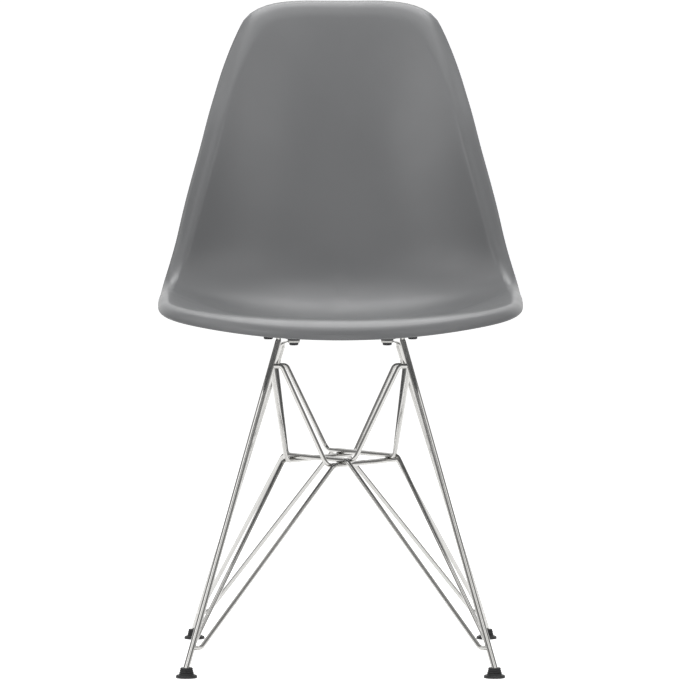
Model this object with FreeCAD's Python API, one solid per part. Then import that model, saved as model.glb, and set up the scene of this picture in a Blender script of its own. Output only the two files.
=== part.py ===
import FreeCAD, Part
import math
import os

# Side chair: one moulded plastic shell on a welded base of bright bent wire.
# Millimetres. X is the sitter's left and right, the front of the seat faces -Y, Z is up.
# The chair is built about the middle of its base, and at the end everything moves along Y
# so that the origin lies on the floor under the middle of the whole chair.

V = FreeCAD.Vector

# Shell: side profile down the middle of the seat and back, followed by arc length
shell_wall = 4.2
crest_height = 449.0
crest_forward = 217.0
pan_slope = 6.8
pan_settle = 70.0
bend_start = 244.0
bend_end = 470.0
back_angle = 75.5
back_relax = 9.0
profile_length = 771.5

# Shell: half widths of the dished part, from the front crest to the top of the back
front_half_width = 198.0
seat_half_width = 203.5
hip_half_width = 201.5
waist_half_width = 187.0
middle_half_width = 162.3
shoulder_half_width = 138.0
top_half_width = 109.5
front_corner_length = 74.0
front_corner_power = 2.7
top_corner_length = 50.0
top_corner_power = 5.0

# Shell: how far the sides stand above the middle line, square to the profile
front_dish = 17.0
seat_dish = 34.0
hip_dish = 50.0
middle_dish = 42.0
top_dish = 12.0
dish_power = 2.25

# Shell: rolled rim, as the radius and the turn of its roll and the flat run after it
front_roll_radius = 27.0
front_roll_turn = 90.0
front_rim_run = 2.0
top_roll_radius = 17.0
top_roll_turn = 76.0
top_rim_run = 1.5
seat_roll_radius = 24.0
seat_roll_turn = 76.0
seat_rim_run = 3.0
back_roll_radius = 16.0
back_roll_turn = 51.0
back_rim_run = 10.0
back_rim_delay = 60.0
top_rim_lead = 130.0
edge_wall = 3.4

# Mounts between the shell and the base
front_mount_half_span = 90.5
front_mount_forward = 78.0
front_mount_drop = 30.0
front_mount_height = crest_height - front_mount_drop
rear_mount_half_span = 59.7
rear_mount_back = 74.0
rear_mount_drop = 48.0
rear_mount_height = crest_height - rear_mount_drop
boss_diameter = 22.0
boss_draft = 2.0
boss_hole_spare = 1.5
boss_cover = 0.7
insert_diameter = 9.0
insert_length = 9.0
insert_bore = 6.2
pad_diameter = 16.0
pad_thickness = 2.0
tab_thickness = 2.5
tab_diameter = 16.0
tab_hole = 6.6
screw_diameter = 6.0
screw_length = 13.0
screw_head_diameter = 12.0
screw_head_height = 3.6
screw_head_round = 1.0
screw_socket = 4.0
screw_socket_depth = 2.2
fit_gap = 0.1

# Base: legs
leg_diameter = 8.0
foot_half_span = 190.5
foot_half_depth = 210.0
leg_aim_half_depth = 78.0
front_leg_aim_half_span = 79.0
front_aim_drop = 14.0
front_leg_aim_height = front_mount_height - front_aim_drop
rear_leg_aim_half_span = 75.0
rear_aim_drop = 11.0
rear_leg_aim_height = rear_mount_height - rear_aim_drop
front_leg_bend_radius = 6.0
rear_leg_bend_radius = 9.0
flattened_half_width = 6.5
pressed_relief = 0.1
pressed_overlap = 2.0

# Base: the wires of the waist, which run from leg to leg
wire_diameter = 5.8
weld_gap = 0.1
waist_height = 252.0
waist_level_step = 6.1
waist_corner_across = 72.3
waist_corner_along = 84.0
crossing_overrun = 8.3
waist_bend_radius = 11.0
front_hook_drop = 41.2
front_hook_height = front_mount_height - front_hook_drop
rear_hook_drop = 34.4
rear_hook_height = rear_mount_height - rear_hook_drop
hook_reach = 13.0
hook_bend_radius = 6.5
lower_hook_height = 36.0
lower_hook_reach = 11.0
lower_hook_bend_radius = 7.5

# Feet
boot_top_diameter = 15.0
boot_bottom_diameter = 19.5
boot_height = 12.7
flange_diameter = 26.5
flange_thickness = 3.8
flange_round = 1.8
boot_groove_count = 3
boot_groove_depth = 0.6
flange_bevel_count = 3
leg_socket_floor = 4.5

# Fineness of the shell's surface
ring_point_count = 96
roll_step_count = 3
dish_row_count = 22
dish_column_count = 13
dish_margin = 12.0
dish_overrun = 1.06
bend_section_count = 5
oval_point_count = 12
boss_look_count = 12
SIDES = {"left": -1.0, "right": 1.0}
ENDS = {"front": -1.0, "rear": 1.0}


def smooth_step(start, end, place):
    """0 before start, 1 after end, and an even swell between them."""
    share = min(1.0, max(0.0, (place - start) / (end - start)))
    return share * share * (3.0 - 2.0 * share)


def curve_through(table):
    """A smooth curve through a few (place, value) pairs, level beyond both ends."""
    last = len(table) - 1

    def slope(index):
        low = max(0, index - 1)
        high = min(last, index + 1)
        return (table[high][1] - table[low][1]) / (table[high][0] - table[low][0])

    def value(place):
        if place <= table[0][0]:
            return table[0][1]
        if place >= table[last][0]:
            return table[last][1]
        index = max(i for i in range(last) if table[i][0] <= place)
        start, end = table[index], table[index + 1]
        span = end[0] - start[0]
        t = (place - start[0]) / span
        keep = (1.0 + 2.0 * t) * (1.0 - t) ** 2
        rise = slope(index) * span * t * (1.0 - t) ** 2
        fall = slope(index + 1) * span * t * t * (t - 1.0)
        return start[1] * keep + end[1] * (1.0 - keep) + rise + fall

    return value


def profile_angle(station):
    """Tilt of the middle line, in radians: down along the pan, up through the bend."""
    pan = -pan_slope * smooth_step(-pan_settle / 7.0, pan_settle, station)
    bend = (pan_slope + back_angle) * smooth_step(bend_start, bend_end, station)
    relax = -back_relax * smooth_step(bend_end, profile_length, station)
    return math.radians(pan + bend + relax)


def profile_table(step=1.0):
    """The middle line as (y, z) at each step of arc length, from the front crest."""
    points = [(-crest_forward, crest_height)]
    count = int(math.ceil(profile_length / step))
    for index in range(count):
        angle = profile_angle((index + 0.5) * step)
        y, z = points[-1]
        points.append((y + step * math.cos(angle), z + step * math.sin(angle)))
    return points


PROFILE = profile_table()


def profile_point(station):
    """The middle line's (y, z) at a station, run on straight past both ends."""
    last = len(PROFILE) - 1
    index = int(min(last - 1, max(0, math.floor(station))))
    share = station - index
    y0, z0 = PROFILE[index]
    y1, z1 = PROFILE[index + 1]
    return y0 + share * (y1 - y0), z0 + share * (z1 - z0)


half_width = curve_through([
    (0.0, front_half_width), (110.0, seat_half_width), (230.0, seat_half_width),
    (340.0, hip_half_width), (450.0, waist_half_width), (555.0, middle_half_width),
    (655.0, shoulder_half_width), (profile_length, top_half_width)])
dish_depth = curve_through([
    (0.0, front_dish), (250.0, seat_dish), (420.0, hip_dish), (580.0, middle_dish),
    (profile_length, top_dish)])


def shell_point(station, across):
    """Upper face of the shell: the middle line, with its sides raised square to it."""
    y, z = profile_point(station)
    angle = profile_angle(min(profile_length, max(0.0, station)))
    rise = dish_depth(station) * (abs(across) / half_width(station)) ** dish_power
    return V(across, y - rise * math.sin(angle), z + rise * math.cos(angle))


def shell_normal(station, across):
    """Unit vector off the upper face, towards the sitter."""
    reach = 0.5
    along = shell_point(station + reach, across) - shell_point(station - reach, across)
    side = shell_point(station, across + reach) - shell_point(station, across - reach)
    return side.cross(along).normalize()


def half_outline(steps=90):
    """Right half of the dished part's edge as (station, across), front to top."""
    points = []
    for index in range(steps):
        turn = 0.5 * math.pi * index / steps
        station = front_corner_length * (1.0 - math.cos(turn))
        share = math.sin(turn) ** (2.0 / front_corner_power)
        points.append((station, share * half_width(station)))
    side_end = profile_length - top_corner_length
    for index in range(steps):
        station = front_corner_length + (side_end - front_corner_length) * index / steps
        points.append((station, half_width(station)))
    for index in range(steps + 1):
        turn = 0.5 * math.pi * index / steps
        station = side_end + top_corner_length * math.sin(turn)
        share = math.cos(turn) ** (2.0 / top_corner_power) if index < steps else 0.0
        points.append((station, share * half_width(station)))
    return points


def evenly_along(points, count):
    """The same line as count equal steps."""
    lengths = [0.0]
    for (s0, x0), (s1, x1) in zip(points, points[1:]):
        lengths.append(lengths[-1] + math.hypot(s1 - s0, x1 - x0))
    result = []
    index = 0
    for step in range(count + 1):
        target = lengths[-1] * step / count
        while index < len(points) - 2 and lengths[index + 1] < target:
            index += 1
        share = (target - lengths[index]) / (lengths[index + 1] - lengths[index])
        s0, x0 = points[index]
        s1, x1 = points[index + 1]
        result.append((s0 + share * (s1 - s0), x0 + share * (x1 - x0)))
    return result


def full_outline():
    """The whole edge as ring_point_count places, symmetric about the middle."""
    right = evenly_along(half_outline(), ring_point_count // 2)
    left = [(station, -across) for station, across in right[-2:0:-1]]
    return right + left


def rim_shape(station, outward):
    """Roll radius, roll turn in radians and flat run of the rim at one place."""
    front = max(0.0, -outward) ** 2
    top = max(0.0, outward) ** 2
    side = 1.0 - front - top
    back_share = smooth_step(bend_start, bend_end + back_rim_delay, station)
    top_share = smooth_step(profile_length - top_rim_lead, profile_length, station)
    radius = seat_roll_radius + (back_roll_radius - seat_roll_radius) * back_share
    turn = seat_roll_turn + (back_roll_turn - seat_roll_turn) * back_share
    run = seat_rim_run + (back_rim_run - seat_rim_run) * back_share
    turn += (top_roll_turn - back_roll_turn) * top_share
    run += (top_rim_run - back_rim_run) * top_share
    radius = side * radius + front * front_roll_radius + top * top_roll_radius
    turn = side * turn + front * front_roll_turn + top * top_roll_turn
    run = side * run + front * front_rim_run + top * top_rim_run
    return radius, math.radians(turn), run


def rim_frames(outline):
    """For each place on the edge: point, normal, outward direction and rim shape."""
    frames = []
    count = len(outline)
    for index, (station, across) in enumerate(outline):
        before = outline[index - 1]
        after = outline[(index + 1) % count]
        flat = math.hypot(after[0] - before[0], after[1] - before[1])
        outward_station = -(after[1] - before[1]) / flat
        normal = shell_normal(station, across)
        run = shell_point(*after) - shell_point(*before)
        outward = run.cross(normal).normalize()
        shape = rim_shape(station, outward_station)
        frames.append((shell_point(station, across), normal, outward, shape))
    return frames


def rim_ring(frames, share, depth):
    """Ring of points on the roll at a share of its turn, depth below its outer face."""
    ring = []
    for point, normal, outward, (radius, turn, run) in frames:
        angle = turn * share
        facing = normal * math.cos(angle) + outward * math.sin(angle)
        place = point + outward * (radius * math.sin(angle))
        place -= normal * (radius * (1.0 - math.cos(angle)))
        ring.append(place - facing * depth)
    return ring


def rim_end_ring(frames, depth, beyond=0.0):
    """Ring of points at the free edge of the rim."""
    ring = []
    for point, normal, outward, (radius, turn, run) in frames:
        facing = normal * math.cos(turn) + outward * math.sin(turn)
        heading = outward * math.cos(turn) - normal * math.sin(turn)
        place = point + outward * (radius * math.sin(turn))
        place -= normal * (radius * (1.0 - math.cos(turn)))
        ring.append(place + heading * (run + beyond) - facing * depth)
    return ring


def closed_curve(points):
    """Smooth closed wire through evenly numbered points."""
    curve = Part.BSplineCurve()
    knots = [float(index) for index in range(len(points) + 1)]
    curve.interpolate(Points=points, PeriodicFlag=True, Parameters=knots)
    return Part.Wire(curve.toShape())


def dish_surface(depth):
    """The dished middle of the shell, run on past its outline, depth below the upper face."""
    rows = []
    for step in range(dish_row_count):
        station = (profile_length + 2.0 * dish_margin) * step / (dish_row_count - 1) - dish_margin
        row = []
        for place in range(dish_column_count):
            share = 2.0 * place / (dish_column_count - 1) - 1.0
            across = dish_overrun * half_width(station) * share
            row.append(shell_point(station, across) - shell_normal(station, across) * depth)
        rows.append(row)
    surface = Part.BSplineSurface()
    surface.interpolate(rows)
    return surface


def dish_face(depth, ring):
    """One face of the dished middle, trimmed to a ring of points on it."""
    face = Part.Face(dish_surface(depth), closed_curve(ring))
    if not face.isValid():
        face.validate()
    return face


def band(rings, straight):
    """Faces through a run of rings."""
    return Part.makeLoft([closed_curve(ring) for ring in rings], False, straight).Faces


def moulding():
    """The shell before its bosses: both faces of the dish, the rolled rim and its edge."""
    frames = rim_frames(full_outline())
    edge = rim_ring(frames, 0.0, 0.0)
    lip = rim_end_ring(frames, 0.0)
    inner_edge = rim_ring(frames, 0.0, shell_wall)
    inner_lip = rim_end_ring(frames, edge_wall)
    turns = [share / roll_step_count for share in range(1, roll_step_count + 1)]
    roll = [rim_ring(frames, share, 0.0) for share in turns]
    inner_roll = [rim_ring(frames, share, shell_wall) for share in turns]
    faces = [dish_face(0.0, edge), dish_face(shell_wall, inner_edge)]
    faces += band([edge] + roll, False)
    faces += band([roll[-1], lip], True)
    faces += band([lip, inner_lip], True)
    faces += band([inner_lip, inner_roll[-1]], True)
    faces += band(inner_roll[::-1] + [inner_edge], False)
    shell = Part.makeShell(faces)
    shell.sewShape(0.05)
    return Part.makeSolid(shell)


def mount_places():
    """Name, centre and height of the four places where the base carries the shell."""
    places = []
    for name, side in SIDES.items():
        front = V(side * front_mount_half_span, -front_mount_forward, front_mount_height)
        rear = V(side * rear_mount_half_span, rear_mount_back, rear_mount_height)
        places += [("front_" + name, front), ("rear_" + name, rear)]
    return places


def seat_height(across, y):
    """Height of the shell's upper face over one place of the pan."""
    low, high = 0.0, bend_end
    for _ in range(30):
        middle = (low + high) / 2.0
        if shell_point(middle, across).y < y:
            low = middle
        else:
            high = middle
    return shell_point(low, across).z


def upright(diameter, foot, height):
    """Round bar standing on a point."""
    return Part.makeCylinder(diameter / 2.0, height, foot)


def boss(place):
    """Drafted boss from the mount's face up into the shell's wall, short of its upper face."""
    radius = boss_diameter / 2.0
    slope = math.tan(math.radians(boss_draft))
    reach = radius + slope * (seat_height(place.x, place.y) - place.z)
    turns = [2.0 * math.pi * index / boss_look_count for index in range(boss_look_count)]
    lowest = min(seat_height(place.x + reach * math.cos(turn), place.y + reach * math.sin(turn))
                 for turn in turns)
    height = lowest - boss_cover - place.z
    return Part.makeCone(radius, radius + slope * height, height, place)


def boss_hole(place):
    """Blind hole for the threaded insert."""
    bore = insert_diameter + 2.0 * fit_gap
    return upright(bore, place, insert_length + boss_hole_spare)


def seat_shell():
    """The moulded seat and back in one piece, with four bosses beneath."""
    body = moulding()
    places = [place for _, place in mount_places()]
    body = body.multiFuse([boss(place) for place in places])
    return body.cut(Part.makeCompound([boss_hole(place) for place in places]))


def threaded_insert(place):
    """Metal sleeve set into a boss."""
    sleeve = upright(insert_diameter, place, insert_length)
    return sleeve.cut(upright(insert_bore, place, insert_length))


def mount_pad(place):
    """Soft washer between the shell's boss and the base's tab."""
    foot = place - V(0.0, 0.0, pad_thickness)
    pad = upright(pad_diameter, foot, pad_thickness)
    return pad.cut(upright(tab_hole, foot, pad_thickness))


def mount_screw(place):
    """Pan head screw with a hexagon socket, driven up through the tab."""
    seat = place - V(0.0, 0.0, pad_thickness + tab_thickness)
    base = seat - V(0.0, 0.0, screw_head_height)
    wide = screw_head_diameter / 2.0
    head = upright(screw_head_diameter, base + V(0.0, 0.0, screw_head_round),
                   screw_head_height - screw_head_round)
    head = head.fuse(Part.makeCone(wide - screw_head_round, wide, screw_head_round, base))
    corner = screw_socket / math.sqrt(3.0)
    corners = [V(base.x + corner * math.cos(math.radians(60.0 * turn)),
                 base.y + corner * math.sin(math.radians(60.0 * turn)), base.z)
               for turn in range(7)]
    socket = Part.Face(Part.makePolygon(corners)).extrude(V(0.0, 0.0, screw_socket_depth))
    shank = upright(screw_diameter, seat, screw_length)
    return head.fuse(shank).cut(socket)


def leg_axis(side, end):
    """Axis of a leg: its point at the mouth of the boot and its direction upwards."""
    foot = V(side * foot_half_span, end * foot_half_depth, boot_height)
    if end < 0.0:
        aim = V(side * front_leg_aim_half_span, -leg_aim_half_depth, front_leg_aim_height)
    else:
        aim = V(side * rear_leg_aim_half_span, leg_aim_half_depth, rear_leg_aim_height)
    return foot, (aim - foot).normalize()


def on_leg(side, end, height):
    """Point of a leg's axis at a height."""
    foot, upwards = leg_axis(side, end)
    return foot + upwards * ((height - foot.z) / upwards.z)


def disc(radius, centre, normal):
    """Round face."""
    return Part.Face(Part.Wire(Part.makeCircle(radius, centre, normal)))


def corner_bend(before, corner, after, radius):
    """Bend at a corner: its start, end, centre, axis and turn in radians."""
    arriving = (corner - before).normalize()
    leaving = (after - corner).normalize()
    turn = arriving.getAngle(leaving)
    setback = radius * math.tan(turn / 2.0)
    start = corner - arriving * setback
    axis = arriving.cross(leaving).normalize()
    centre = start + axis.cross(arriving) * radius
    return start, corner + leaving * setback, centre, axis, turn


def rod(points, radii, diameter):
    """Round rod along a line of points, bent to a radius at each inner corner."""
    pieces = []
    start = points[0]
    for index, radius in enumerate(radii):
        corner = points[index + 1]
        bend = corner_bend(points[index], corner, points[index + 2], radius)
        heading = bend[0] - start
        pieces.append(Part.makeCylinder(diameter / 2.0, heading.Length, start, heading))
        section = disc(diameter / 2.0, bend[0], heading)
        pieces.append(section.revolve(bend[2], bend[3], math.degrees(bend[4])))
        start = bend[1]
    heading = points[-1] - start
    pieces.append(Part.makeCylinder(diameter / 2.0, heading.Length, start, heading))
    return pieces[0].multiFuse(pieces[1:])


def oval(centre, heading, aside, wide, thin):
    """Closed oval wire square to a heading, with half width wide along aside."""
    aside = (aside - heading * aside.dot(heading)).normalize()
    up = heading.cross(aside).normalize()
    points = []
    for step in range(oval_point_count):
        turn = 2.0 * math.pi * step / oval_point_count
        points.append(centre + aside * (wide * math.cos(turn)) + up * (thin * math.sin(turn)))
    return closed_curve(points)


def pressed_end(bend, upwards, tab):
    """The rod's end, from round to flat through its bend, as far as the tab's middle."""
    start, finish, centre, axis, turn = bend
    leaving = (tab - finish).normalize()
    level = leaving.cross(V(0.0, 0.0, 1.0)).normalize()
    if level.dot(axis) < 0.0:
        level = level * -1.0
    round_half = leg_diameter / 2.0 - pressed_relief / 2.0
    flat_half = tab_thickness / 2.0 - pressed_relief
    sections = [oval(start - upwards * pressed_overlap, upwards, axis, round_half, round_half)]
    for step in range(bend_section_count + 1):
        share = step / bend_section_count
        pressed = smooth_step(0.0, 0.8, share)
        turned = FreeCAD.Rotation(axis, math.degrees(turn) * share)
        wide = round_half + (flattened_half_width - round_half) * pressed
        thin = round_half + (flat_half - round_half) * pressed
        sections.append(oval(centre + turned.multVec(start - centre), turned.multVec(upwards),
                             axis * (1.0 - share) + level * share, wide, thin))
    curved = Part.makeLoft(sections, True, False)
    last = oval(tab, leaving, level, flattened_half_width, flat_half)
    return [curved, Part.makeLoft([sections[-1], last], True, True)]


def leg(side, end, place):
    """Bright rod from the boot up to the tab, pressed flat through its bend and drilled."""
    foot_point, upwards = leg_axis(side, end)
    tip = on_leg(side, end, leg_socket_floor)
    tab = place - V(0.0, 0.0, pad_thickness + tab_thickness / 2.0)
    radius = front_leg_bend_radius if end < 0.0 else rear_leg_bend_radius
    bend = corner_bend(foot_point, on_leg(side, end, tab.z), tab, radius)
    shaft = bend[0] - tip
    straight = Part.makeCylinder(leg_diameter / 2.0, shaft.Length, tip, shaft)
    eye_foot = tab - V(0.0, 0.0, tab_thickness / 2.0)
    eye = upright(tab_diameter, eye_foot, tab_thickness)
    whole = straight.multiFuse(pressed_end(bend, upwards, tab) + [eye])
    return whole.cut(upright(tab_hole, eye_foot, tab_thickness))


def waist_ends(side, end, inset):
    """The two ends of one side of the waist: near its front or rear leg, then its side."""
    step = wire_diameter + weld_gap if inset else 0.0
    slope = math.atan2(waist_corner_along - crossing_overrun,
                       waist_corner_across + crossing_overrun)
    level = waist_height + (0.0 if side * end < 0.0 else waist_level_step)
    near = V(-side * (crossing_overrun + step / math.sin(slope)),
             end * waist_corner_along, level)
    far = V(side * waist_corner_across, -end * crossing_overrun, level)
    far = far - V(side * math.sin(slope), end * math.cos(slope), 0.0) * step
    return near, far


def hook(side, end, height, reach, across):
    """A wire's end at a leg: its place on the leg's axis, then its corner further in."""
    start = on_leg(side, end, height)
    inward = V(-side, 0.0, 0.0) if across else V(0.0, -end, 0.0)
    return start, start + inward * reach


def waist_wire(side, end, heights, reach, hook_bend, inset):
    """Wire from one leg to the one across the middle, turned in to the waist between them.

    side and end name the part of the waist that it runs along. It starts at the leg of the
    same end and the other side, and its two ends stop on the surface of their legs."""
    near, far = waist_ends(side, end, inset)
    legs = ((-side, end), (side, -end))
    first, first_corner = hook(-side, end, heights[end], reach, True)
    last, last_corner = hook(side, -end, heights[-end], reach, False)
    wire = rod([first, first_corner, near, far, last_corner, last],
               [hook_bend, waist_bend_radius, waist_bend_radius, hook_bend], wire_diameter)
    for leg_side, leg_end in legs:
        tip = on_leg(leg_side, leg_end, 0.0)
        upwards = leg_axis(leg_side, leg_end)[1]
        wire = wire.cut(Part.makeCylinder(leg_diameter / 2.0 + weld_gap, crest_height,
                                          tip, upwards))
    return max(wire.Solids, key=lambda solid: solid.Volume)


def lower_wire(side, end):
    """Wire from just above one foot up, round the waist and down to the opposite foot."""
    heights = {-1.0: lower_hook_height, 1.0: lower_hook_height}
    return waist_wire(side, end, heights, lower_hook_reach, lower_hook_bend_radius, False)


def upper_wire(side, end):
    """Wire from the top of one leg down, inside the waist, and up to the opposite leg."""
    heights = {-1.0: front_hook_height, 1.0: rear_hook_height}
    return waist_wire(side, end, heights, hook_reach, hook_bend_radius, True)


def boot():
    """The foot before its socket: a grooved boot on a flange with a bevelled edge."""
    top = boot_top_diameter / 2.0
    bottom = boot_bottom_diameter / 2.0
    rim = flange_diameter / 2.0
    points = [V(0.0, 0.0, boot_height), V(0.0, 0.0, 0.0), V(rim, 0.0, 0.0)]
    for index in range(flange_bevel_count + 1):
        turn = math.radians(90.0 * index / flange_bevel_count)
        points.append(V(rim - flange_round * (1.0 - math.cos(turn)), 0.0,
                        flange_thickness - flange_round * (1.0 - math.sin(turn))))
    points.append(V(bottom, 0.0, flange_thickness))
    for index in range(boot_groove_count):
        share = (index + 1.0) / (boot_groove_count + 1.0)
        height = flange_thickness + share * (boot_height - flange_thickness)
        wall = bottom + share * (top - bottom)
        points += [V(wall, 0.0, height - boot_groove_depth),
                   V(wall - boot_groove_depth, 0.0, height),
                   V(wall, 0.0, height + boot_groove_depth)]
    points += [V(top, 0.0, boot_height), points[0]]
    profile = Part.Face(Part.makePolygon(points))
    return profile.revolve(V(0.0, 0.0, 0.0), V(0.0, 0.0, 1.0), 360.0)


def foot(side, end):
    """Soft foot, with a slanted socket for the leg."""
    body = boot()
    body.translate(V(side * foot_half_span, end * foot_half_depth, 0.0))
    tip = on_leg(side, end, leg_socket_floor)
    socket = Part.makeCylinder(leg_diameter / 2.0 + fit_gap, 4.0 * boot_height, tip,
                               leg_axis(side, end)[1])
    return body.cut(socket)


def all_parts():
    """Every node of the chair by name, about the middle of the base."""
    parts = {"seat_shell": seat_shell()}
    places = dict(mount_places())
    spots = list(places.values())
    parts["threaded_inserts"] = Part.makeCompound([threaded_insert(spot) for spot in spots])
    parts["mount_screws"] = Part.makeCompound([mount_screw(spot) for spot in spots])
    for name, side in SIDES.items():
        for depth, end in ENDS.items():
            corner = depth + "_" + name
            parts["mount_pad_" + corner] = mount_pad(places[corner])
            parts["leg_" + corner] = leg(side, end, places[corner])
            parts["foot_" + corner] = foot(side, end)
            parts["lower_wire_" + corner] = lower_wire(side, end)
            parts["upper_wire_" + corner] = upper_wire(side, end)
    return parts


def depth_range():
    """The shell's furthest reach to the front and to the back."""
    frames = rim_frames(full_outline())
    rings = [rim_ring(frames, share / 8.0, 0.0) for share in range(9)]
    depths = [point.y for ring in rings for point in ring]
    return min(depths), max(depths)


def centred(parts):
    """The parts moved along Y so that the origin is under the middle of the chair."""
    shift = V(0.0, -sum(depth_range()) / 2.0, 0.0)
    for shape in parts.values():
        shape.translate(shift)
    return parts


if __name__ == "__main__":
    os.makedirs("parts", exist_ok=True)
    for part_name, part_shape in centred(all_parts()).items():
        part_shape.exportStep("parts/" + part_name + ".step")
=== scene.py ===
import math

import bmesh
import bpy
from bpy.props import FloatProperty, FloatVectorProperty, IntProperty, PointerProperty
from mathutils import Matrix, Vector


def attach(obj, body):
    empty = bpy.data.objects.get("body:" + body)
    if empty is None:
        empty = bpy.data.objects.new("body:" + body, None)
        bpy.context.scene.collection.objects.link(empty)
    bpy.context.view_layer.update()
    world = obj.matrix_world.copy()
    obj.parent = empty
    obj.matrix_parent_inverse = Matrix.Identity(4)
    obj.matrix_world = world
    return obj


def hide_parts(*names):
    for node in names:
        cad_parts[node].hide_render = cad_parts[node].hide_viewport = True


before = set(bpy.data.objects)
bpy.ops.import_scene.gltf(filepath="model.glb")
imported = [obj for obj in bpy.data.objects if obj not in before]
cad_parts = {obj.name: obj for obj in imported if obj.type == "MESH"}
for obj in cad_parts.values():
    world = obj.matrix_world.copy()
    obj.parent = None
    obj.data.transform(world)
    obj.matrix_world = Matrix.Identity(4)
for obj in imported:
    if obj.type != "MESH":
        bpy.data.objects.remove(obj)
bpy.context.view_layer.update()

bl_info = {
    "name": "Shell chair looks",
    "version": (1, 0, 0),
    "blender": (4, 5, 0),
    "location": "View3D > Sidebar > Shell Chair",
    "description": "Dresses a moulded shell chair on a bright wire base",
    "category": "Object",
}

ROOT = "root"
MM = 0.001
SIDES = {"left": -1.0, "right": 1.0}
ENDS = {"front": -1.0, "rear": 1.0}
CORNERS = [(end, side) for end in ENDS for side in SIDES]

# The chair's forms are written about the middle of its base, this far ahead of the frame's origin.
BASE_SHIFT = Vector((0.0, -30.8855, 0.0))


# Materials

def new_material(name):
    """An empty node material with its output and Principled shader."""
    material = bpy.data.materials.new(name)
    material.use_nodes = True
    tree = material.node_tree
    shader = tree.nodes["Principled BSDF"]
    return material, tree, shader


def add_node(tree, kind, settings=None, **inputs):
    """A node with its inputs set by name, each to a value or to another node's socket."""
    node = tree.nodes.new(kind)
    for name, value in (settings or {}).items():
        setattr(node, name, value)
    for name, value in inputs.items():
        socket = node.inputs[name.replace("_", " ")]
        if isinstance(value, bpy.types.NodeSocket):
            tree.links.new(value, socket)
        else:
            socket.default_value = value
    return node


def ramp(tree, factor, stops):
    """A colour ramp node with its stops as (place, grey or colour)."""
    node = tree.nodes.new("ShaderNodeValToRGB")
    elements = node.color_ramp.elements
    while len(elements) < len(stops):
        elements.new(0.5)
    for element, (place, colour) in zip(elements, stops):
        element.position = place
        element.color = colour if len(colour) == 4 else (*colour, 1.0)
    tree.links.new(factor, node.inputs["Fac"])
    return node.outputs["Color"]


def object_place(tree):
    """The point's own place on the chair, in metres."""
    return tree.nodes.new("ShaderNodeTexCoord").outputs["Object"]


def noise(tree, place, scale, detail=3.0, roughness=0.5):
    """Height of a noise pattern at a place."""
    node = add_node(tree, "ShaderNodeTexNoise", None, Vector=place, Scale=scale,
                    Detail=detail, Roughness=roughness)
    return node.outputs["Fac"]


def bump(tree, height, distance, strength=1.0):
    """Surface normal from a height pattern, its depth in metres."""
    node = add_node(tree, "ShaderNodeBump", None, Height=height, Distance=distance,
                    Strength=strength)
    return node.outputs["Normal"]


def plastic_material(name, colour, roughness, grain_scale, grain_depth, variation):
    """Moulded plastic: fine grain, faint cloudiness in colour and gloss."""
    material, tree, shader = new_material(name)
    place = object_place(tree)
    cloud = noise(tree, place, 9.0, 2.0)
    dark = tuple(channel * (1.0 - variation) for channel in colour)
    light = tuple(min(1.0, channel * (1.0 + variation)) for channel in colour)
    tint = ramp(tree, cloud, [(0.3, dark), (0.7, light)])
    tree.links.new(tint, shader.inputs["Base Color"])
    wipe = noise(tree, place, 26.0, 4.0, 0.6)
    low = (roughness - 0.03,) * 3
    high = (roughness + 0.04,) * 3
    gloss = ramp(tree, wipe, [(0.35, low), (0.7, high)])
    tree.links.new(gloss, shader.inputs["Roughness"])
    grain = noise(tree, place, grain_scale, 2.0, 0.6)
    tree.links.new(bump(tree, grain, grain_depth), shader.inputs["Normal"])
    return material


def metal_material(name, colour, roughness, scale, depth):
    """Bright metal with faint handling haze and a slight unevenness."""
    material, tree, shader = new_material(name)
    place = object_place(tree)
    haze = noise(tree, place, scale, 4.0, 0.6)
    dull = tuple(channel * 0.93 for channel in colour)
    tree.links.new(ramp(tree, haze, [(0.35, dull), (0.65, colour)]), shader.inputs["Base Color"])
    low = (roughness * 0.7,) * 3
    high = (roughness * 1.5,) * 3
    tree.links.new(ramp(tree, haze, [(0.4, low), (0.75, high)]), shader.inputs["Roughness"])
    wave = noise(tree, place, scale * 3.0, 2.0)
    tree.links.new(bump(tree, wave, depth), shader.inputs["Normal"])
    shader.inputs["Metallic"].default_value = 1.0
    return material


def dress_node(name, material):
    """Gives one node of the frame a material in all its slots."""
    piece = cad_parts[name]
    for slot in piece.material_slots:
        slot.material = material
    if not piece.material_slots:
        piece.data.materials.append(material)


# Meshes

def make_piece(name, points, faces, material, nodes=()):
    """One mesh piece that rides on the chair, smooth, with its finish."""
    mesh = bpy.data.meshes.new(name)
    mesh.from_pydata([tuple((point + BASE_SHIFT) * MM) for point in points], [], faces)
    mesh.validate()
    work = bmesh.new()
    work.from_mesh(mesh)
    bmesh.ops.recalc_face_normals(work, faces=work.faces)
    work.to_mesh(mesh)
    work.free()
    for polygon in mesh.polygons:
        polygon.use_smooth = True
    piece = bpy.data.objects.new(name, mesh)
    bpy.context.scene.collection.objects.link(piece)
    mesh.materials.append(material)
    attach(piece, ROOT)
    if nodes:
        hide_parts(*nodes)
    return piece


def bridge(first, second, count):
    """Quads between two rings of count points that start at two indices."""
    return [(first + i, first + (i + 1) % count, second + (i + 1) % count, second + i)
            for i in range(count)]


def ring_faces(ring_total, count):
    """Quads through a run of rings, numbered one after another."""
    faces = []
    for ring in range(ring_total - 1):
        faces += bridge(ring * count, (ring + 1) * count, count)
    return faces


# The shell's form: its side profile, half widths and dishes by station, and its rolled rim

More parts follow.
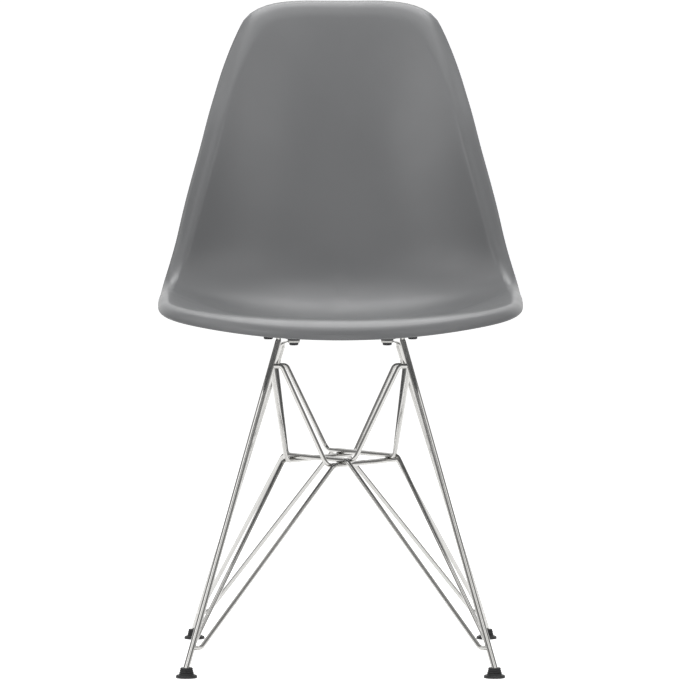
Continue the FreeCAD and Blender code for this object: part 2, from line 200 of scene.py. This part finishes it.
PROFILE_LENGTH = 761.2
CREST = (-220.3, 444.7)
PAN_SLOPE = 6.8
PAN_SETTLE = 70.0
BEND = (244.0, 470.0)
BACK_ANGLE = 75.5
BACK_RELAX = 9.0
WIDTHS = [(0.0, 191.3), (110.0, 211.4), (230.0, 213.4), (340.0, 208.8),
          (450.0, 188.0), (555.0, 161.3), (655.0, 135.3), (PROFILE_LENGTH, 88.6)]
DISHES = [(0.0, 9.7), (110.0, 21.5), (250.0, 45.2), (420.0, 50.0), (580.0, 42.0),
          (PROFILE_LENGTH, 8.5)]
DISH_POWER = 2.25
FRONT_EDGE = 10.6
FRONT_CORNER = (123.3, 1.84)
TOP_CORNER = (20.8, 5.6)
# The rim's line outwards from the dish: the length of each stretch and its turn at the end
FRONT_RIM = [(13.93, 18.0), (13.93, 37.0), (6.09, 55.0), (6.09, 73.0), (6.53, 90.0)]
SEAT_RIM = [(4.22, 19.0), (4.22, 38.0), (4.32, 57.5), (4.32, 77.0), (1.92, 77.0)]
BACK_RIM = [(5.0, 38.0), (4.5, 44.0), (4.5, 30.0), (5.0, 34.0), (5.5, 75.0)]
TOP_RIM = [(15.0, 11.0), (9.0, 29.0), (6.5, 48.0), (5.5, 67.0), (1.5, 72.0)]
RIM_STEPS = 20
BACK_RIM_DELAY = 60.0
TOP_RIM_LEAD = 130.0
WALL = 4.2
EDGE_WALL = 3.4
MIDDLE_STATION = 380.0
BOSSES = [(90.5, -78.0, 419.0), (59.7, 74.0, 401.0)]
BOSS_RADIUS = 11.0
BOSS_DRAFT = 2.0
BOSS_HOLE_RADIUS = 4.6
BOSS_HOLE_DEPTH = 10.5


def smooth_step(start, end, place):
    """0 before start, 1 after end, and an even swell between them."""
    share = min(1.0, max(0.0, (place - start) / (end - start)))
    return share * share * (3.0 - 2.0 * share)


def curve_through(table):
    """A smooth curve through a few (place, value) pairs, level beyond both ends."""
    last = len(table) - 1

    def slope(index):
        low, high = max(0, index - 1), min(last, index + 1)
        return (table[high][1] - table[low][1]) / (table[high][0] - table[low][0])

    def value(place):
        if place <= table[0][0]:
            return table[0][1]
        if place >= table[last][0]:
            return table[last][1]
        index = max(i for i in range(last) if table[i][0] <= place)
        start, end = table[index], table[index + 1]
        span = end[0] - start[0]
        t = (place - start[0]) / span
        keep = (1.0 + 2.0 * t) * (1.0 - t) ** 2
        rise = slope(index) * span * t * (1.0 - t) ** 2
        fall = slope(index + 1) * span * t * t * (t - 1.0)
        return start[1] * keep + end[1] * (1.0 - keep) + rise + fall

    return value


half_width = curve_through(WIDTHS)
dish_depth = curve_through(DISHES)


def profile_angle(station):
    """Tilt of the shell's middle line, in radians."""
    pan = -PAN_SLOPE * smooth_step(-PAN_SETTLE / 7.0, PAN_SETTLE, station)
    bend = (PAN_SLOPE + BACK_ANGLE) * smooth_step(BEND[0], BEND[1], station)
    relax = -BACK_RELAX * smooth_step(BEND[1], PROFILE_LENGTH, station)
    return math.radians(pan + bend + relax)


def profile_table():
    """The middle line as (y, z) at each millimetre of its length."""
    points = [CREST]
    for index in range(int(math.ceil(PROFILE_LENGTH))):
        angle = profile_angle(index + 0.5)
        y, z = points[-1]
        points.append((y + math.cos(angle), z + math.sin(angle)))
    return points


PROFILE = profile_table()


def profile_point(station):
    """The middle line's (y, z) at a station."""
    index = int(min(len(PROFILE) - 2, max(0, math.floor(station))))
    share = station - index
    (y0, z0), (y1, z1) = PROFILE[index], PROFILE[index + 1]
    return y0 + share * (y1 - y0), z0 + share * (z1 - z0)


def shell_point(station, across):
    """Upper face of the shell."""
    y, z = profile_point(station)
    angle = profile_angle(min(PROFILE_LENGTH, max(0.0, station)))
    rise = dish_depth(station) * (abs(across) / half_width(station)) ** DISH_POWER
    return Vector((across, y - rise * math.sin(angle), z + rise * math.cos(angle)))


def shell_normal(station, across):
    """Unit vector off the upper face, towards the sitter."""
    along = shell_point(station + 0.5, across) - shell_point(station - 0.5, across)
    side = shell_point(station, across + 0.5) - shell_point(station, across - 0.5)
    return side.cross(along).normalized()


def half_outline(steps=90):
    """Right half of the dished part's edge as (station, across), front to top."""
    points = []
    length, power = FRONT_CORNER
    for index in range(steps):
        turn = 0.5 * math.pi * index / steps
        station = FRONT_EDGE + length * (1.0 - math.cos(turn))
        points.append((station, math.sin(turn) ** (2.0 / power) * half_width(station)))
    side_end = PROFILE_LENGTH - TOP_CORNER[0]
    for index in range(steps):
        station = FRONT_EDGE + length + (side_end - FRONT_EDGE - length) * index / steps
        points.append((station, half_width(station)))
    for index in range(steps + 1):
        turn = 0.5 * math.pi * index / steps
        station = side_end + TOP_CORNER[0] * math.sin(turn)
        share = math.cos(turn) ** (2.0 / TOP_CORNER[1]) if index < steps else 0.0
        points.append((station, share * half_width(station)))
    return points


def evenly_along(points, count):
    """The same line as count equal steps."""
    lengths = [0.0]
    for (s0, x0), (s1, x1) in zip(points, points[1:]):
        lengths.append(lengths[-1] + math.hypot(s1 - s0, x1 - x0))
    result, index = [], 0
    for step in range(count + 1):
        target = lengths[-1] * step / count
        while index < len(points) - 2 and lengths[index + 1] < target:
            index += 1
        share = (target - lengths[index]) / (lengths[index + 1] - lengths[index])
        (s0, x0), (s1, x1) = points[index], points[index + 1]
        result.append((s0 + share * (s1 - s0), x0 + share * (x1 - x0)))
    return result


def full_outline(count):
    """The whole edge as count places, symmetric about the middle."""
    right = evenly_along(half_outline(), count // 2)
    return right + [(station, -across) for station, across in right[-2:0:-1]]


def mixed_rim(first, second, share):
    """A rim's line part of the way from one to another."""
    return [(a + (c - a) * share, b + (d - b) * share) for (a, b), (c, d) in zip(first, second)]


def rim_line(station, outward):
    """Reach, drop and turn of the rim at each step outwards, at one place of the edge."""
    front = max(0.0, -outward) ** 2
    top = max(0.0, outward) ** 2
    back = smooth_step(BEND[0], BEND[1] + BACK_RIM_DELAY, station)
    high = smooth_step(PROFILE_LENGTH - TOP_RIM_LEAD, PROFILE_LENGTH, station)
    line = mixed_rim(SEAT_RIM, mixed_rim(BACK_RIM, TOP_RIM, high), back)
    line = mixed_rim(mixed_rim(line, FRONT_RIM, front), TOP_RIM, top)
    parts = RIM_STEPS // len(line)
    steps, reach, drop, turn = [(0.0, 0.0, 0.0)], 0.0, 0.0, 0.0
    for length, end in line:
        change = (math.radians(end) - turn) / parts
        for _ in range(parts):
            reach += length / parts * math.cos(turn + 0.5 * change)
            drop += length / parts * math.sin(turn + 0.5 * change)
            turn += change
            steps.append((reach, drop, turn))
    return steps


def rim_frames(outline):
    """For each place on the edge: point, normal, outward direction and the rim's line."""
    frames, count = [], len(outline)
    for index, (station, across) in enumerate(outline):
        before, after = outline[index - 1], outline[(index + 1) % count]
        flat = math.hypot(after[0] - before[0], after[1] - before[1])
        normal = shell_normal(station, across)
        run = shell_point(*after) - shell_point(*before)
        outward = run.cross(normal).normalized()
        line = rim_line(station, -(after[1] - before[1]) / flat)
        frames.append((shell_point(station, across), normal, outward, line))
    return frames


def rim_ring(frames, step, depth, back=0.0):
    """Ring of points at one step of the rim, some depth below its outer face."""
    ring = []
    for point, normal, outward, line in frames:
        reach, drop, turn = line[step]
        facing = normal * math.cos(turn) + outward * math.sin(turn)
        onward = outward * math.cos(turn) - normal * math.sin(turn)
        place = point + outward * reach - normal * drop
        ring.append(place - facing * depth - onward * back)
    return ring


def dish_ring(outline, share, depth):
    """Ring of points inside the edge, at a share of the way out from the middle."""
    ring = []
    for station, across in outline:
        place = MIDDLE_STATION + share * (station - MIDDLE_STATION)
        ring.append(shell_point(place, share * across)
                    - shell_normal(place, share * across) * depth)
    return ring


def under_face(across, y):
    """Point of the shell's under face straight above one place of the pan."""
    station, side = 0.5 * MIDDLE_STATION, across
    for _ in range(14):
        point = shell_point(station, side) - shell_normal(station, side) * WALL
        station += y - point.y
        side += across - point.x
    return point


def boss_rings(place, around, fillet=2.2, edge=0.6):
    """Rings of one boss: out of the wall, down its drafted side, and up its blind hole."""
    top = under_face(place.x, place.y).z
    slope = math.tan(math.radians(BOSS_DRAFT))
    wider = BOSS_RADIUS + slope * (top - place.z)
    levels = []
    for step in range(6):
        turn = 0.5 * math.pi * step / 5.0
        sink = -0.5 if step == 0 else fillet * (1.0 - math.cos(turn))
        levels.append((wider + fillet * (1.0 - math.sin(turn)), sink, None))
    levels += [(BOSS_RADIUS + slope * edge, None, edge), (BOSS_RADIUS - 0.3 * edge, None, 0.3 * edge),
               (BOSS_RADIUS - edge, None, 0.0), (BOSS_HOLE_RADIUS + 0.4, None, 0.0),
               (BOSS_HOLE_RADIUS, None, 0.4), (BOSS_HOLE_RADIUS, None, BOSS_HOLE_DEPTH)]
    rings = []
    for radius, sink, rise in levels:
        ring = []
        for index in range(around):
            turn = 2.0 * math.pi * index / around
            across = place.x + radius * math.cos(turn)
            y = place.y + radius * math.sin(turn)
            height = place.z + rise if sink is None else under_face(across, y).z - sink
            ring.append(Vector((across, y, height)))
        rings.append(ring)
    return rings


def edge_rings(frames, rounding=1.1):
    """Rings round the free edge of the rim, with both its corners softened."""
    corners = ((0.0, rounding), (0.3 * rounding, 0.3 * rounding), (rounding, 0.0),
               (EDGE_WALL - rounding, 0.0), (EDGE_WALL - 0.3 * rounding, 0.3 * rounding),
               (EDGE_WALL, rounding))
    return [rim_ring(frames, RIM_STEPS, depth, back) for depth, back in corners]


# Settings

class ShellChairShell(bpy.types.PropertyGroup):
    colour: FloatVectorProperty(
        name="Colour", description="Colour of the moulded plastic", subtype="COLOR",
        size=3, min=0.0, max=1.0, default=(0.165, 0.168, 0.172))
    roughness: FloatProperty(
        name="Roughness", description="How satin the plastic is", subtype="FACTOR",
        min=0.0, max=1.0, default=0.34)
    grain_depth: FloatProperty(
        name="Grain depth", description="Depth of the moulded grain", subtype="DISTANCE",
        min=0.0, max=0.001, default=0.00002, precision=6)
    around: IntProperty(
        name="Steps around", description="Faces round the rim", min=48, max=720, default=288)


class ShellChairBase(bpy.types.PropertyGroup):
    colour: FloatVectorProperty(
        name="Metal colour", description="Colour of the bright plating", subtype="COLOR",
        size=3, min=0.0, max=1.0, default=(0.50, 0.495, 0.48))
    roughness: FloatProperty(
        name="Metal roughness", description="How clouded the plating is", subtype="FACTOR",
        min=0.0, max=1.0, default=0.10)


class ShellChairFeet(bpy.types.PropertyGroup):
    colour: FloatVectorProperty(
        name="Foot colour", description="Colour of the feet", subtype="COLOR",
        size=3, min=0.0, max=1.0, default=(0.022, 0.022, 0.023))
    roughness: FloatProperty(
        name="Foot roughness", description="How satin the feet are", subtype="FACTOR",
        min=0.0, max=1.0, default=0.5)


class ShellChairStage(bpy.types.PropertyGroup):
    lamp_level: FloatProperty(
        name="Lamp level", description="Share of the softboxes' own levels", min=0.0,
        default=1.0)
    room_level: FloatProperty(
        name="Room light", description="Strength of the light from all round", min=0.0,
        default=0.35)


# Pieces and stage

class SHELLCHAIR_OT_shell(bpy.types.Operator):
    """Build the moulded seat and back with its rolled rim and its bosses"""
    bl_idname = "shellchair.shell"
    bl_label = "Build Shell"

    def execute(self, context):
        settings = context.scene.shell_chair_shell
        material = plastic_material(
            "satin_shell_plastic", tuple(settings.colour), settings.roughness, 900.0,
            settings.grain_depth, 0.02)
        count = settings.around
        outline = full_outline(count)
        frames = rim_frames(outline)
        shares = [0.03, 0.08] + [0.08 + 0.92 * step / 34.0 for step in range(1, 35)]
        rings = [dish_ring(outline, share, 0.0) for share in shares]
        rings += [rim_ring(frames, step, 0.0) for step in range(1, RIM_STEPS)]
        rings += edge_rings(frames)
        rings += [rim_ring(frames, step, WALL + (EDGE_WALL - WALL) * (step / RIM_STEPS) ** 4)
                  for step in range(RIM_STEPS - 1, 0, -1)]
        rings += [dish_ring(outline, share, WALL) for share in reversed(shares)]
        points = [point for ring in rings for point in ring]
        faces = ring_faces(len(rings), count)
        last = len(points)
        points.append(shell_point(MIDDLE_STATION, 0.0))
        points.append(shell_point(MIDDLE_STATION, 0.0)
                      - shell_normal(MIDDLE_STATION, 0.0) * WALL)
        first_inner = (len(rings) - 1) * count
        faces += [((i + 1) % count, i, last) for i in range(count)]
        faces += [(first_inner + i, first_inner + (i + 1) % count, last + 1)
                  for i in range(count)]
        for side in SIDES.values():
            for across, y, height in BOSSES:
                self.add_boss(points, faces, Vector((side * across, y, height)))
        make_piece("seat_and_back", points, faces, material, ["seat_shell"])
        return {"FINISHED"}

    def add_boss(self, points, faces, place, around=40):
        """One boss that grows out of the shell's wall, closed at both ends."""
        rings = boss_rings(place, around)
        start = len(points)
        points.extend(point for ring in rings for point in ring)
        faces.extend(tuple(start + index for index in face)
                     for face in ring_faces(len(rings), around))
        for ring, first in ((rings[0], start), (rings[-1], start + (len(rings) - 1) * around)):
            points.append(sum(ring, Vector()) / around)
            faces.extend((first + i, first + (i + 1) % around, len(points) - 1)
                         for i in range(around))


class SHELLCHAIR_OT_base(bpy.types.Operator):
    """Finish the legs and the waist wires in bright plating"""
    bl_idname = "shellchair.base"
    bl_label = "Finish Base"

    def execute(self, context):
        settings = context.scene.shell_chair_base
        material = metal_material("bright_plating", tuple(settings.colour),
                                  settings.roughness, 60.0, 0.000004)
        for end, side in CORNERS:
            for kind in ("leg", "lower_wire", "upper_wire"):
                dress_node(f"{kind}_{end}_{side}", material)
        return {"FINISHED"}


class SHELLCHAIR_OT_mounts(bpy.types.Operator):
    """Finish the screws, pads and inserts between the shell and the base"""
    bl_idname = "shellchair.mounts"
    bl_label = "Finish Mounts"

    def execute(self, context):
        screw = metal_material("blackened_screw", (0.05, 0.05, 0.052), 0.34, 220.0, 0.00001)
        brass = metal_material("insert_brass", (0.72, 0.55, 0.28), 0.25, 300.0, 0.00001)
        pad = plastic_material("black_pad", (0.02, 0.02, 0.021), 0.6, 1600.0, 0.00003, 0.1)
        dress_node("mount_screws", screw)
        dress_node("threaded_inserts", brass)
        for end, side in CORNERS:
            dress_node(f"mount_pad_{end}_{side}", pad)
        return {"FINISHED"}


class SHELLCHAIR_OT_feet(bpy.types.Operator):
    """Finish the feet in black plastic"""
    bl_idname = "shellchair.feet"
    bl_label = "Finish Feet"

    def execute(self, context):
        settings = context.scene.shell_chair_feet
        material = plastic_material("black_foot", tuple(settings.colour),
                                    settings.roughness, 1500.0, 0.00003, 0.1)
        for end, side in CORNERS:
            dress_node(f"foot_{end}_{side}", material)
        return {"FINISHED"}


# Softboxes as name, place in metres and level, where 1 lights a face turned to it fully
SOFTBOXES = [
    ("overhead_softbox", (0.0, -0.2, 2.8), 0.30),
    ("rear_overhead_softbox", (0.0, 1.0, 2.6), 0.54),
    ("left_softbox", (-1.9, -0.2, 2.4), 0.12),
    ("right_softbox", (1.9, -0.2, 2.4), 0.07),
    ("front_left_softbox", (-2.0, -2.0, 2.3), 0.14),
    ("front_right_softbox", (2.0, -2.0, 2.3), 0.10),
    ("front_softbox", (0.0, -3.6, 1.4), 0.09),
]
SOFTBOX_SIZE = 1.6
LIT_POINT = Vector((0.0, 0.0, 0.5))

# The white floor's own light, for the camera and for what the metal mirrors
FLOOR_GLOW = 0.8

# The camera, in pixels of the picture, metres from the middle of the base, and radians
PICTURE_WIDTH = 680.0
FOCAL_LENGTH = 6211.16
SHIFT_ACROSS = -0.5
CAMERA_DISTANCE = 7.84816
CAMERA_HEIGHT = 0.93557
CAMERA_TILT = 0.06755


def softbox(name, place, level):
    """A soft square light aimed at the chair."""
    way = LIT_POINT - Vector(place)
    data = bpy.data.lights.new(name, "AREA")
    data.energy = math.pi ** 2 * way.length_squared * level
    data.shape = "SQUARE"
    data.size = SOFTBOX_SIZE
    light = bpy.data.objects.new(name, data)
    light.location = place
    light.rotation_euler = way.to_track_quat("-Z", "Y").to_euler()
    bpy.context.scene.collection.objects.link(light)
    return light


class SHELLCHAIR_OT_stage(bpy.types.Operator):
    """Set the floor, the lights and the camera"""
    bl_idname = "shellchair.stage"
    bl_label = "Set Stage"

    def execute(self, context):
        settings = context.scene.shell_chair_stage
        scene = context.scene
        scene.view_settings.view_transform = "Standard"
        self.add_floor()
        self.add_world(settings.room_level)
        for name, place, level in SOFTBOXES:
            softbox(name, place, level * settings.lamp_level)
        self.add_camera()
        return {"FINISHED"}

    def add_floor(self):
        """A wide pale floor that sweeps up into a far backdrop."""
        reach, rise, radius, steps = 10.0, 9.0, 2.5, 16
        line = [(-12.0, 0.0), (reach, 0.0)]
        for step in range(1, steps + 1):
            turn = 0.5 * math.pi * step / steps
            line.append((reach + radius * math.sin(turn), radius * (1.0 - math.cos(turn))))
        line.append((reach + radius, radius + rise))
        points = [(side, y, z) for y, z in line for side in (-15.0, 15.0)]
        faces = [(2 * i, 2 * i + 1, 2 * i + 3, 2 * i + 2) for i in range(len(line) - 1)]
        mesh = bpy.data.meshes.new("floor")
        mesh.from_pydata(points, [], faces)
        for polygon in mesh.polygons:
            polygon.use_smooth = True
        floor = bpy.data.objects.new("floor", mesh)
        bpy.context.scene.collection.objects.link(floor)
        material, tree, shader = new_material("pale_floor")
        shader.inputs["Base Color"].default_value = (0.85, 0.85, 0.85, 1.0)
        shader.inputs["Roughness"].default_value = 0.9
        shader.inputs["Specular IOR Level"].default_value = 0.1
        path = tree.nodes.new("ShaderNodeLightPath")
        mirrored = add_node(tree, "ShaderNodeMath", {"operation": "MAXIMUM"})
        tree.links.new(path.outputs["Is Glossy Ray"], mirrored.inputs[0])
        tree.links.new(path.outputs["Is Transmission Ray"], mirrored.inputs[1])
        seen = add_node(tree, "ShaderNodeMath", {"operation": "MAXIMUM"})
        tree.links.new(path.outputs["Is Camera Ray"], seen.inputs[0])
        tree.links.new(mirrored.outputs[0], seen.inputs[1])
        lift = add_node(tree, "ShaderNodeMath", {"operation": "MULTIPLY"})
        tree.links.new(seen.outputs[0], lift.inputs[0])
        lift.inputs[1].default_value = FLOOR_GLOW
        shader.inputs["Emission Color"].default_value = (1.0, 1.0, 1.0, 1.0)
        tree.links.new(lift.outputs[0], shader.inputs["Emission Strength"])
        mesh.materials.append(material)

    def add_world(self, strength):
        """Even white light from all round."""
        world = bpy.data.worlds.new("room")
        bpy.context.scene.world = world
        world.use_nodes = True
        tree = world.node_tree
        background = tree.nodes["Background"]
        background.inputs["Color"].default_value = (1.0, 1.0, 1.0, 1.0)
        background.inputs["Strength"].default_value = strength

    def add_camera(self):
        """The photograph's view, worked out from the chair's height, width and base."""
        data = bpy.data.cameras.new("camera")
        data.sensor_width = 36.0
        data.lens = FOCAL_LENGTH / PICTURE_WIDTH * data.sensor_width
        data.shift_x = SHIFT_ACROSS / PICTURE_WIDTH
        data.clip_end = 60.0
        camera = bpy.data.objects.new("camera", data)
        camera.location = (0.0, -CAMERA_DISTANCE + BASE_SHIFT.y * MM, CAMERA_HEIGHT)
        camera.rotation_euler = (0.5 * math.pi - CAMERA_TILT, 0.0, 0.0)
        bpy.context.scene.collection.objects.link(camera)
        bpy.context.scene.camera = camera


class SHELLCHAIR_PT_panel(bpy.types.Panel):
    """Lists the chair's pieces and its settings"""
    bl_idname = "SHELLCHAIR_PT_panel"
    bl_label = "Shell Chair"
    bl_space_type = "VIEW_3D"
    bl_region_type = "UI"
    bl_category = "Shell Chair"

    def draw(self, context):
        for operator in OPERATORS:
            self.layout.operator(operator.bl_idname)
        for name in GROUPS:
            settings = getattr(context.scene, name)
            for prop in settings.bl_rna.properties:
                if prop.identifier not in {"rna_type", "name"}:
                    self.layout.prop(settings, prop.identifier)


GROUPS = {
    "shell_chair_shell": ShellChairShell,
    "shell_chair_base": ShellChairBase,
    "shell_chair_feet": ShellChairFeet,
    "shell_chair_stage": ShellChairStage,
}
OPERATORS = (SHELLCHAIR_OT_shell, SHELLCHAIR_OT_base, SHELLCHAIR_OT_mounts,
             SHELLCHAIR_OT_feet, SHELLCHAIR_OT_stage)


def register():
    """Adds the settings, the operators and the panel."""
    for name, group in GROUPS.items():
        bpy.utils.register_class(group)
        setattr(bpy.types.Scene, name, PointerProperty(type=group))
    for operator in OPERATORS:
        bpy.utils.register_class(operator)
    bpy.utils.register_class(SHELLCHAIR_PT_panel)


def unregister():
    """Takes them away again."""
    bpy.utils.unregister_class(SHELLCHAIR_PT_panel)
    for operator in reversed(OPERATORS):
        bpy.utils.unregister_class(operator)
    for name, group in reversed(GROUPS.items()):
        delattr(bpy.types.Scene, name)
        bpy.utils.unregister_class(group)


def main():
    """Builds every piece in order."""
    register()
    bpy.ops.shellchair.shell()
    bpy.ops.shellchair.base()
    bpy.ops.shellchair.mounts()
    bpy.ops.shellchair.feet()
    bpy.ops.shellchair.stage()


if __name__ == "__main__":
    main()
